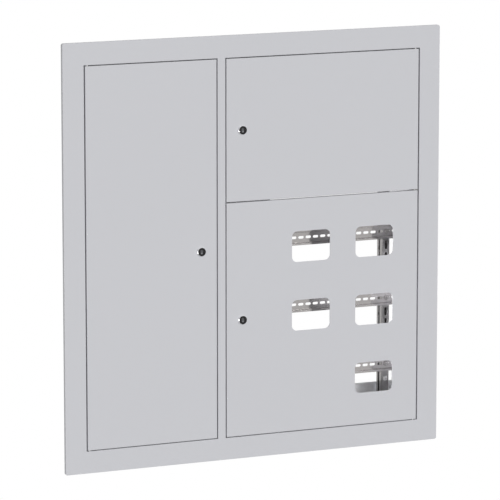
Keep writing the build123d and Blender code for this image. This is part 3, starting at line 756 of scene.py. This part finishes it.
def islands(node):
    # boxes of a node's separate solids, in millimetres: vertices joined by faces share a label
    mesh = nodes[node].data
    count = len(mesh.vertices)
    points = np.empty(count * 3, np.float32)
    mesh.vertices.foreach_get("co", points)
    points = points.reshape(-1, 3)
    keys, label = np.unique(np.round(points, weldDecimals), axis=0, return_inverse=True)
    label = label.reshape(-1)
    edges = np.empty(len(mesh.edges) * 2, np.int32)
    mesh.edges.foreach_get("vertices", edges)
    pairs = label[edges.reshape(-1, 2)]
    group = np.arange(len(keys))
    while True:
        low = np.minimum(group[pairs[:, 0]], group[pairs[:, 1]])
        before = group.copy()
        np.minimum.at(group, pairs[:, 0], low)
        np.minimum.at(group, pairs[:, 1], low)
        group = group[group]
        if np.array_equal(before, group):
            break
    return [(keys[group == g].min(axis=0) / mm, keys[group == g].max(axis=0) / mm) for g in np.unique(group)]


def middleOf(low, high):
    return (low[0] + high[0]) / 2, (low[2] + high[2]) / 2


def panScrews(node, pieceName, flanged, finish="plated_steel"):
    # one pan-head screw for each solid of the node, the head at its front end
    s = screwSettings
    surfaces = []
    for low, high in islands(node):
        x, z = middleOf(low, high)
        surfaces.append(screwSurface(x, z, 1, low[1], low[1] + s["panHeight"], high[1],
                                     (high[0] - low[0]) / 2, s["panShank"], flanged=flanged))
    makePiece(pieceName, surfaces, finish, "cabinet", node)


panScrews("rail_screws", "railScrews", True, "passivatedRail")
panScrews("foot_screws", "footScrews", True)
panScrews("cover_screws", "coverScrews", False)
panScrews("plate_screws", "plateScrews", False)


def terminalScrews():
    # slotted heads stand proud of the bars; the shanks sit in the bars' holes
    s = screwSettings
    surfaces = []
    for low, high in islands("bar_screws"):
        x, z = middleOf(low, high)
        surfaces.append(screwSurface(x, z, 1, low[1], low[1] + s["barHeight"], high[1],
                                     (high[0] - low[0]) / 2, s["barShank"], slotted=True))
    makePiece("terminalScrews", surfaces, "plated_steel", "cabinet", "bar_screws")


def railNuts():
    surfaces = []
    for low, high in islands("rail_nuts"):
        x, z = middleOf(low, high)
        surfaces.append(hexNutSurface(x, z, low[1], high[1], high[2] - low[2], nutSettings["railBore"]))
    makePiece("railNuts", surfaces, "plated_steel", "cabinet", "rail_nuts")


terminalScrews()
railNuts()
print("board: screws and nuts done")


# Hinge pins on upright axes
pinSettings = {
    "radius": 2.5,
    "round": 0.6,
    "roundSteps": 5,
    "hingeCollar": 3.0,       # heights of the collars
    "middleCollar": 0.6,
    "collarBevel": 0.25,      # at most a third of the collar's height
    "flush": 0.01,            # a collar nearer than this to the pin's end lies at the end
}


def uprightPin(low, high, collarLow, collarHigh, collarRadius):
    # a pin with a collar between two heights, and a round at each end that has no collar
    s = pinSettings
    x, y = (low[0] + high[0]) / 2, (low[1] + high[1]) / 2
    bend = np.linspace(0.0, np.pi / 2, s["roundSteps"])
    shaft, collar = circleOutline(s["radius"]), circleOutline(collarRadius)
    soft = min(s["collarBevel"], (collarHigh - collarLow) / 3)
    if collarLow > low[2] + s["flush"]:
        stations = [(shaft - s["round"] * (1 - np.sin(a)), low[2] + s["round"] * (1 - np.cos(a)))
                    for a in bend]
        stations += [(shaft, collarLow), (collar - soft, collarLow), (collar, collarLow + soft)]
    else:
        stations = [(shaft, low[2]), (collar - soft, low[2]), (collar, low[2] + soft)]
    if collarHigh < high[2] - s["flush"]:
        stations += [(collar, collarHigh - soft), (collar - soft, collarHigh), (shaft, collarHigh)]
        stations += [(shaft - s["round"] * (1 - np.cos(a)), high[2] - s["round"] * (1 - np.sin(a)))
                     for a in bend]
    else:
        stations += [(collar, high[2] - soft), (collar - soft, high[2])]
    return loft(uprightAxis((x * mm, y * mm)), stations, False, flip=True)


def hingePins(node, body, pieceName):
    # the collar of an upper pin is at its lower end, that of a lower pin at its upper end
    tall = pinSettings["hingeCollar"]
    surfaces = []
    for low, high in islands(node):
        collarRadius = (high[0] - low[0]) / 2
        inner = (low[2], low[2] + tall) if high[2] > 0 else (high[2] - tall, high[2])
        surfaces.append(uprightPin(low, high, inner[0], inner[1], collarRadius))
    makePiece(pieceName, surfaces, "plated_steel", body, node)


def middlePin():
    low, high = islands("middle_pivot_pin")[0]
    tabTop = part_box("hinge_tab")[1].z / mm
    surface = uprightPin(low, high, tabTop, tabTop + pinSettings["middleCollar"], (high[0] - low[0]) / 2)
    makePiece("middlePivotPin", [surface], "plated_steel", "cabinet", "middle_pivot_pin")


# Earth studs: a plain foot, a thread and a chamfer at the top
studSettings = {"foot": 1.0, "chamfer": 0.6, "threadPitch": 1.0, "threadDepth": 0.5}


def earthStuds():
    s = studSettings
    surfaces = []
    for low, high in islands("earth_studs"):
        x, y = (low[0] + high[0]) / 2, (low[1] + high[1]) / 2
        radius = (high[0] - low[0]) / 2
        stations = [(circleOutline(radius), low[2])]
        stations += threadStations(radius, low[2] + s["foot"], high[2] - s["chamfer"],
                                   s["threadPitch"], s["threadDepth"])
        stations += [(circleOutline(radius - s["chamfer"]), high[2])]
        surfaces.append(loft(uprightAxis((x * mm, y * mm)), stations, False, flip=True))
    makePiece("earthStuds", surfaces, "plated_steel", "cabinet", "earth_studs")


hingePins("left_hinge_pins", "left_door", "leftHingePins")
hingePins("upper_hinge_pin", "upper_door", "upperHingePin")
hingePins("lower_hinge_pin", "lower_door", "lowerHingePin")
middlePin()
earthStuds()
print("board: pins and studs done")
